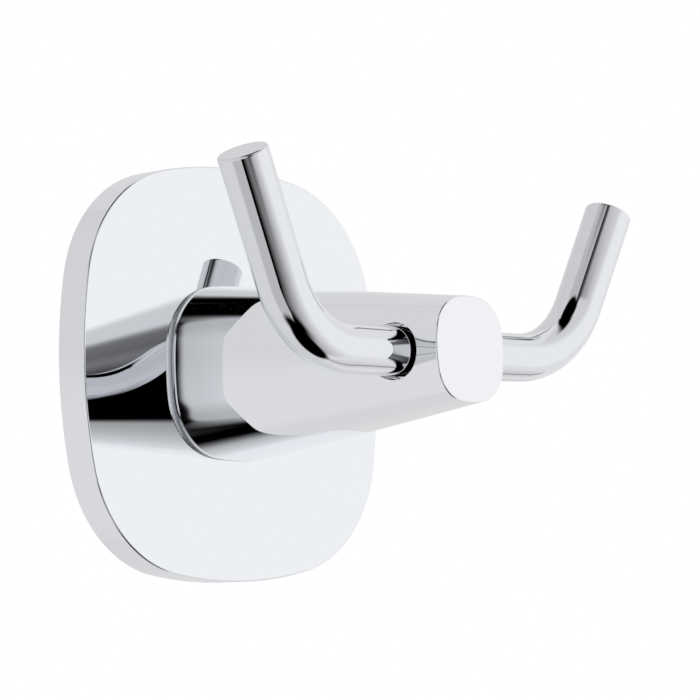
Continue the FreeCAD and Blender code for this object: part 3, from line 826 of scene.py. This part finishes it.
def make_chrome(name, colour, land=False):
    """Polished chrome; with land, it is matt and grainy next to the plate's face."""
    material = new_material(name)
    tree = material.node_tree
    place = add_node(tree, "ShaderNodeTexCoord")
    haze = add_node(tree, "ShaderNodeTexNoise", Vector=(place, "Object"), Scale=1 / HAZE_LENGTH, Detail=2.0)
    gloss = add_node(tree, "ShaderNodeMapRange", Value=(haze, "Fac"), _1=HAZE_SPREAD[0], _2=HAZE_SPREAD[1],
                     _3=GLOSS_RANGE[0], _4=GLOSS_RANGE[1])
    ripple = add_node(tree, "ShaderNodeTexNoise", Vector=(place, "Object"), Scale=1 / RIPPLE_LENGTH,
                      Detail=0.0)
    bump = add_node(tree, "ShaderNodeBump", Height=(ripple, "Fac"), Distance=RIPPLE_HEIGHT)
    if land:
        depth = add_node(tree, "ShaderNodeSeparateXYZ", Vector=(place, "Object"))
        matt = add_node(tree, "ShaderNodeMath", {"operation": "GREATER_THAN"}, _0=(depth, "Y"), _1=LAND_EDGE)
        grit = add_node(tree, "ShaderNodeTexNoise", Vector=(place, "Object"), Scale=1 / GRIT_LENGTH,
                        Detail=1.0)
        gloss = add_node(tree, "ShaderNodeMix", Factor=(matt, "Value"), _2=(gloss, "Result"),
                         _3=LAND_ROUGHNESS)
        bump = add_node(tree, "ShaderNodeBump", Height=(grit, "Fac"), Distance=GRIT_HEIGHT,
                        Strength=(matt, "Value"), Normal=(bump, "Normal"))
    surface = add_node(tree, "ShaderNodeBsdfPrincipled", Base_Color=linear(colour), Metallic=1.0,
                       Roughness=(gloss, "Result"), Normal=(bump, "Normal"))
    add_node(tree, "ShaderNodeOutputMaterial", Surface=(surface, "BSDF"))
    return material


plate.data.materials.append(make_chrome("chrome plate on cast cover", "#EDEFF3"))
boss.data.materials.append(make_chrome("chrome plate on cast boss", "#F0F1F4", land=True))
# The rods' chrome is written darker than the boss's and the plate's: painted shade, for the dimmer
# surroundings that the arms reflect.
rod_chrome = make_chrome("chrome plate on drawn rod, darker as painted shade", "#E5E7EB")
for arm in (left_arm, right_arm):
    arm.data.materials.append(rod_chrome)
print("chrome on", plate.name, boss.name, left_arm.name, right_arm.name)

# %% [markdown]
# ## Hidden metal
# The bracket is a zinc casting that is tumbled and left dull: soft grey, broad mottling, fine grain.
# The screws are plain stainless steel, turned and then pickled, so they are darker and smoother.

# %% Zinc and steel
def make_dull_metal(name, dark, light, mottle, grain, grain_height, gloss_range):
    """A metal whose colour wanders between two greys over the mottle, with a fine grain as bump."""
    material = new_material(name)
    tree = material.node_tree
    place = add_node(tree, "ShaderNodeTexCoord")
    broad = add_node(tree, "ShaderNodeTexNoise", Vector=(place, "Object"), Scale=1 / mottle, Detail=3.0)
    colour = add_node(tree, "ShaderNodeMix", {"data_type": "RGBA"}, Factor=(broad, "Fac"),
                      _6=linear(dark), _7=linear(light))
    fine = add_node(tree, "ShaderNodeTexNoise", Vector=(place, "Object"), Scale=1 / grain, Detail=2.0)
    gloss = add_node(tree, "ShaderNodeMapRange", Value=(fine, "Fac"), _3=gloss_range[0], _4=gloss_range[1])
    bump = add_node(tree, "ShaderNodeBump", Height=(fine, "Fac"), Distance=grain_height)
    surface = add_node(tree, "ShaderNodeBsdfPrincipled", Base_Color=(colour, 2), Metallic=1.0,
                       Roughness=(gloss, "Result"), Normal=(bump, "Normal"))
    add_node(tree, "ShaderNodeOutputMaterial", Surface=(surface, "BSDF"))
    return material


zinc = make_dull_metal("tumbled zinc casting", "#9A9CA0", "#B9BBBE", mottle=5 * MM, grain=0.25 * MM,
                       grain_height=0.01 * MM, gloss_range=(0.38, 0.52))
steel = make_dull_metal("pickled stainless steel", "#85868A", "#9B9CA0", mottle=1.5 * MM, grain=0.1 * MM,
                        grain_height=0.003 * MM, gloss_range=(0.25, 0.38))
hidden = {"wall_bracket": zinc, "upper_boss_screw": steel, "lower_boss_screw": steel, "grub_screw": steel}
for node, metal in hidden.items():
    mesh = frame["nodes"][node].data
    mesh.materials.clear()
    mesh.materials.append(metal)
    print(node, "in", metal.name)

# %% [markdown]
# ## Studio
# Chrome shows only what stands round it, so the studio is the picture. Product photographers hang
# big pale cloths at the sides and leave a dark gap between them, where the camera looks in. The gap
# is what draws the dark lines that make metal look like metal.
#
# Here all the cloths are one wall round the hook, whose tone is a formula of direction: azimuth to
# the side and elevation, in degrees. The limits were found by tracing which direction each light or
# dark band on the hook reflects. The wall is seen by reflections only, so it neither lights nor
# hides anything, and where its tone is full white it is left open to the white world.

# %% Soft limits
def ramp(value, start, stop):
    """0 before start, 1 after stop, and the smooth curve 3t^2 - 2t^3 between them."""
    t = np.clip((value - start) / (stop - start), 0, 1)
    return t * t * (3 - 2 * t)


def band(value, start, full, fade, stop):
    """0, a ramp up from start to full, 1, and a ramp down from fade to stop."""
    return ramp(value, start, full) * (1 - ramp(value, fade, stop))


def angle_from(azimuth, elevation, middle):
    """The angle in degrees between each direction and a middle one, by the cosine rule on a sphere."""
    turn, rise = np.radians(azimuth - middle[0]), np.radians(elevation)
    level = math.radians(middle[1])
    cosine = np.sin(rise) * math.sin(level) + np.cos(rise) * math.cos(level) * np.cos(turn)
    return np.degrees(np.arccos(np.clip(cosine, -1, 1)))


def outside(azimuth, elevation, middle, radii):
    """0 in a round patch about a middle direction and 1 outside it, with a ramp between two radii."""
    return ramp(angle_from(azimuth, elevation, middle), *radii)


# %% [markdown]
# The left cloth is pale grey. Its upright edge, just left of the lens, is the limit between grey and
# black in the boss's flank, so its place counts to a fraction of a degree. One round black cloth
# hangs above and one below. They give the broad dark bands along the boss's top and underside.

# %% Left cloth
EDGE_AZIMUTH = -61.98
EDGE_LIMIT = 55
BLACK_ABOVE = (-48.0, 68.0)
BLACK_BELOW = (20.0, -84.0)
BELOW_RADII = (19, 25)
LEFT_ABOVE_RADII = (17, 23)
LEFT_TONE = 0.80
LEFT_STEEP_TONE = 0.58
HEM_SHADE = 0.12


def cloth_edge(elevation):
    """Where the left cloth ends: an upright edge that leans to the front far above and far below."""
    high, low = np.clip(elevation, 0, EDGE_LIMIT), np.clip(-elevation, 0, EDGE_LIMIT)
    lean_high = 0.0394 * high + 0.00015 * high**3
    return EDGE_AZIMUTH + lean_high - 0.035 * low + 0.0029 * low**2 + 0.000104 * low**3


def left_cloth(azimuth, elevation):
    """A pale grey, darker far up and down near the front, and a little shaded along its hem.

    It ends at a round black hanging above and, near the front, at a black one below.
    """
    edge = cloth_edge(elevation)
    steep = np.abs(elevation)
    tone = LEFT_TONE - 0.06 * ramp(elevation, -5, 10) - 0.03 * ramp(-azimuth, 150, 180)
    tone = tone + (LEFT_STEEP_TONE - tone) * ramp(azimuth, -110, -95) * ramp(steep, 14, 38)
    hem = 1 - HEM_SHADE * (1 - ramp(edge - azimuth, 0, 1.4))
    blur = 0.06 + 3.0 * ramp(steep, 38, 50)
    above = outside(azimuth, elevation, BLACK_ABOVE, LEFT_ABOVE_RADII)
    below = 1 - ramp(-elevation, 58, 66) * ramp(azimuth, -130, -85)
    below = below * outside(azimuth, elevation, BLACK_BELOW, BELOW_RADII)
    return tone * hem * (1 - ramp(azimuth, edge - blur, edge + blur)) * above * below


# %% [markdown]
# The right cloth glows round one middle and fades towards the front. There it has a dark patch and a
# grey fold, which the rods show as soft dark lines.

# %% Right cloth
GLOW_MIDDLE = (50.0, 0.0)
GLOW_RADII = (26, 95)
SHADE_MIDDLE = (-25.0, -9.0)
SHADE_RADII = (13.5, 20)
FOLD_MIDDLE = (-21.0, 19.0)
FOLD_RADII = (5, 14)
FOLD_SHADE = 0.5
HIGH_TONE = 0.76
RIGHT_ABOVE_RADII = (21, 27)


def right_cloth(azimuth, elevation):
    """White round its glow's middle and steadily darker away from it, with a dark patch and a grey fold.

    On the far side of the glow it is an even white, with one shaded corner far down. High up in
    front it stays pale up to the black hanging, and low in front it gives way to the dark.
    """
    away = angle_from(azimuth, elevation, GLOW_MIDDLE)
    tone = 1 - np.clip((away - GLOW_RADII[0]) / (GLOW_RADII[1] - GLOW_RADII[0]), 0, 1)
    even = 1 - 0.11 * ramp(away, 20, 34)
    tone = tone + (even - tone) * ramp(azimuth, 48, 62)
    tone = tone * (1 - 0.15 * ramp(-elevation, 30, 42) * band(azimuth, 60, 75, 95, 110))
    tone = tone * outside(azimuth, elevation, SHADE_MIDDLE, SHADE_RADII)
    tone = tone * ramp(azimuth, cloth_edge(elevation), cloth_edge(elevation) + 10)
    high = ramp(elevation - 34 + 0.5 * (azimuth + 24), -4, 5) * ramp(azimuth, -35, -28)
    tone = tone + high * np.maximum(HIGH_TONE - tone, 0)
    tone = tone * (1 - FOLD_SHADE * (1 - outside(azimuth, elevation, FOLD_MIDDLE, FOLD_RADII)))
    above = outside(azimuth, elevation, BLACK_ABOVE, RIGHT_ABOVE_RADII)
    above = above * (1 - ramp(elevation, 48, 55) * band(azimuth, -12, -2, 18, 42))
    below = outside(azimuth, elevation, BLACK_BELOW, BELOW_RADII)
    front = 1 - ramp(-elevation, 44, 57) * (1 - ramp(azimuth, -5, 32))
    return tone * above * below * front * (1 - 0.16 * ramp(azimuth, 108, 125))


# %% [markdown]
# A pale card fills most of the gap, round the lens. What is left of the gap, close to the left
# cloth, is the thin dark line on the boss's neck.

# %% Card, slit and the whole studio
CARD_TONE = 0.75
SLIT_AZIMUTH = 93
SLIT_LEAN = 0.14
SLIT_WIDTH = 3


def lens_card(azimuth, elevation):
    """The pale card that hangs in the gap, through which the lens looks."""
    wide = ramp(azimuth - cloth_edge(elevation), 0.5, 1.1) * (1 - ramp(azimuth, -37, -31))
    return CARD_TONE * wide * band(elevation, -29, -21, 18, 27)


def studio_tone(azimuth, elevation):
    """Brightness by direction, in degrees; azimuth 0 is in front of the hook and 90 on its right.

    Both cloths and the card, less a dark slit between two cloths on the right, far up and down.
    """
    slit = np.exp(-(((azimuth - SLIT_AZIMUTH - SLIT_LEAN * elevation) / SLIT_WIDTH) ** 2))
    slit = slit * (0.9 * ramp(elevation, 34, 38) + 0.6 * ramp(-elevation, 30, 36))
    cloths = left_cloth(azimuth, elevation) + right_cloth(azimuth, elevation)
    return np.maximum(cloths, lens_card(azimuth, elevation)) * (1 - slit)


for name, azimuth, elevation in (("left cloth", -100, 0), ("lens card", -48, -5), ("right cloth", 50, 0),
                                 ("behind", 150, 0)):
    print(name, round(float(studio_tone(np.array(azimuth), np.array(elevation))), 2))

# %% [markdown]
# ## Studio wall
# The tones are kept in the points of a ball. The boss's neck is nearly flat, so a fraction of a
# degree of the studio fills many millimetres of it, and the left cloth's edge has to be sharp
# there. So the ball's columns run along that edge and lie close together next to it.

# %% Studio wall
WALL_RADIUS = 1.0
WALL_STEP = 1.0
EDGE_STEP = 0.1
EDGE_REACH = 2
FOLLOW_REACH = 60
FULL_WHITE = 0.995


def wall_directions():
    """Azimuth and elevation of each point: columns shift with the edge and stay put far from it."""
    around = np.arange(-180, 180 + WALL_STEP, WALL_STEP)
    close = EDGE_AZIMUTH + np.arange(-EDGE_REACH, EDGE_REACH, EDGE_STEP)
    columns = np.unique(np.concatenate([around, close]))
    azimuth, elevation = np.meshgrid(columns, np.arange(-90, 90 + WALL_STEP, WALL_STEP))
    follow = 1 - ramp(np.abs(azimuth - EDGE_AZIMUTH), EDGE_REACH, FOLLOW_REACH)
    return azimuth + follow * (cloth_edge(elevation) - EDGE_AZIMUTH), elevation


def make_cloth():
    """A material that glows with the tone that the mesh's points carry."""
    material = new_material("studio cloth")
    tree = material.node_tree
    brightness = add_node(tree, "ShaderNodeAttribute", {"attribute_name": "tone"})
    glow = add_node(tree, "ShaderNodeEmission", Strength=(brightness, "Fac"))
    add_node(tree, "ShaderNodeOutputMaterial", Surface=(glow, "Emission"))
    material.cycles.emission_sampling = "NONE"
    return material


def make_studio_wall():
    """radius x (sin az cos el, -cos az cos el, sin el), without the faces that are fully white."""
    azimuth, elevation = wall_directions()
    tone = studio_tone(azimuth, elevation)
    turn, level = np.radians(azimuth), np.cos(np.radians(elevation))
    points = np.stack([np.sin(turn) * level, -np.cos(turn) * level, np.sin(np.radians(elevation))], -1)
    quads = grid_faces(*tone.shape)
    quads = quads[tone.reshape(-1)[quads].min(1) < FULL_WHITE]
    mesh = bpy.data.meshes.new("studio_wall")
    mesh.from_pydata((WALL_RADIUS * points).reshape(-1, 3).tolist(), [], quads.tolist())
    mesh.attributes.new("tone", "FLOAT", "POINT").data.foreach_set("value", tone.reshape(-1))
    mesh.materials.append(make_cloth())
    wall = add_object("studio_wall", mesh)
    wall.visible_camera = wall.visible_diffuse = wall.visible_shadow = wall.visible_transmission = False
    wall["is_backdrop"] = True
    print("studio wall with", len(quads), "faces")


make_studio_wall()

# %% [markdown]
# ## Floor, lamp and white world
# A pale floor lies below the hook and takes its soft shadow. The camera stands low and looks up, so
# the floor shows in other views only. One wide lamp gives the shadow. The world is plain white for
# the camera and for reflections, and dimmer as a light, so that a colour looks as it is written.

# %% Floor, lamp, world
FLOOR_SIZE = 0.8
FLOOR_DROP = 0.14
LAMP_SIZE = 0.8
LAMP_PLACE = (-0.55, -0.75, 1.0)
LAMP_POWER = 7.0
WORLD_LIGHT = 0.62


def make_floor():
    """A square, centred under the hook."""
    half = FLOOR_SIZE / 2
    corners = [(x, y, -FLOOR_DROP) for x, y in ((-half, -half), (half, -half), (half, half), (-half, half))]
    mesh = bpy.data.meshes.new("floor")
    mesh.from_pydata(corners, [], [(0, 1, 2, 3)])
    material = new_material("pale painted board")
    tree = material.node_tree
    paint = add_node(tree, "ShaderNodeBsdfPrincipled", Base_Color=linear("#EFEFEE"), Roughness=0.9)
    add_node(tree, "ShaderNodeOutputMaterial", Surface=(paint, "BSDF"))
    mesh.materials.append(material)
    floor = add_object("floor", mesh)
    floor.visible_glossy = False
    floor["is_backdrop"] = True


def make_lamp():
    """A square lamp that looks at the hook; reflections don't show it."""
    data = bpy.data.lights.new("lamp", "AREA")
    data.size = LAMP_SIZE
    data.energy = LAMP_POWER
    lamp = add_object("lamp", data)
    back = unit(np.array(LAMP_PLACE))
    right = unit(np.cross([0.0, 0.0, 1.0], back))
    put_at(lamp, right, np.cross(back, right), back, LAMP_PLACE)
    lamp.visible_glossy = False


def make_world():
    """White for camera, glossy and transmission rays, and WORLD_LIGHT for all others."""
    world = bpy.data.worlds.new("studio")
    world.use_nodes = True
    tree = world.node_tree
    tree.nodes.clear()
    rays = add_node(tree, "ShaderNodeLightPath")
    seen = (rays, "Is Camera Ray")
    for kind in ("Is Glossy Ray", "Is Transmission Ray"):
        seen = (add_node(tree, "ShaderNodeMath", {"operation": "MAXIMUM"}, _0=seen, _1=(rays, kind)), "Value")
    white = add_node(tree, "ShaderNodeBackground", Color=linear("#FFFFFF"), Strength=1.0)
    light = add_node(tree, "ShaderNodeBackground", Color=linear("#FFFFFF"), Strength=WORLD_LIGHT)
    mix = add_node(tree, "ShaderNodeMixShader", Fac=seen, _1=(light, "Background"), _2=(white, "Background"))
    add_node(tree, "ShaderNodeOutputWorld", Surface=(mix, "Shader"))
    bpy.context.scene.world = world


make_floor()
make_lamp()
make_world()
bpy.context.scene.view_settings.view_transform = "Standard"
print("floor", FLOOR_SIZE, "m wide, lamp of", LAMP_POWER, "W, world at", WORLD_LIGHT)

# %% [markdown]
# ## Finish
# Both boxes, the frame's as loaded and the scene's at the end, are printed in millimetres.

# %% Finish
boxes = {"cad_box": cad_box, "scene_box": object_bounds()}
for name, box in boxes.items():
    print(name, [[round(value / MM, 2) for value in corner] for corner in box])
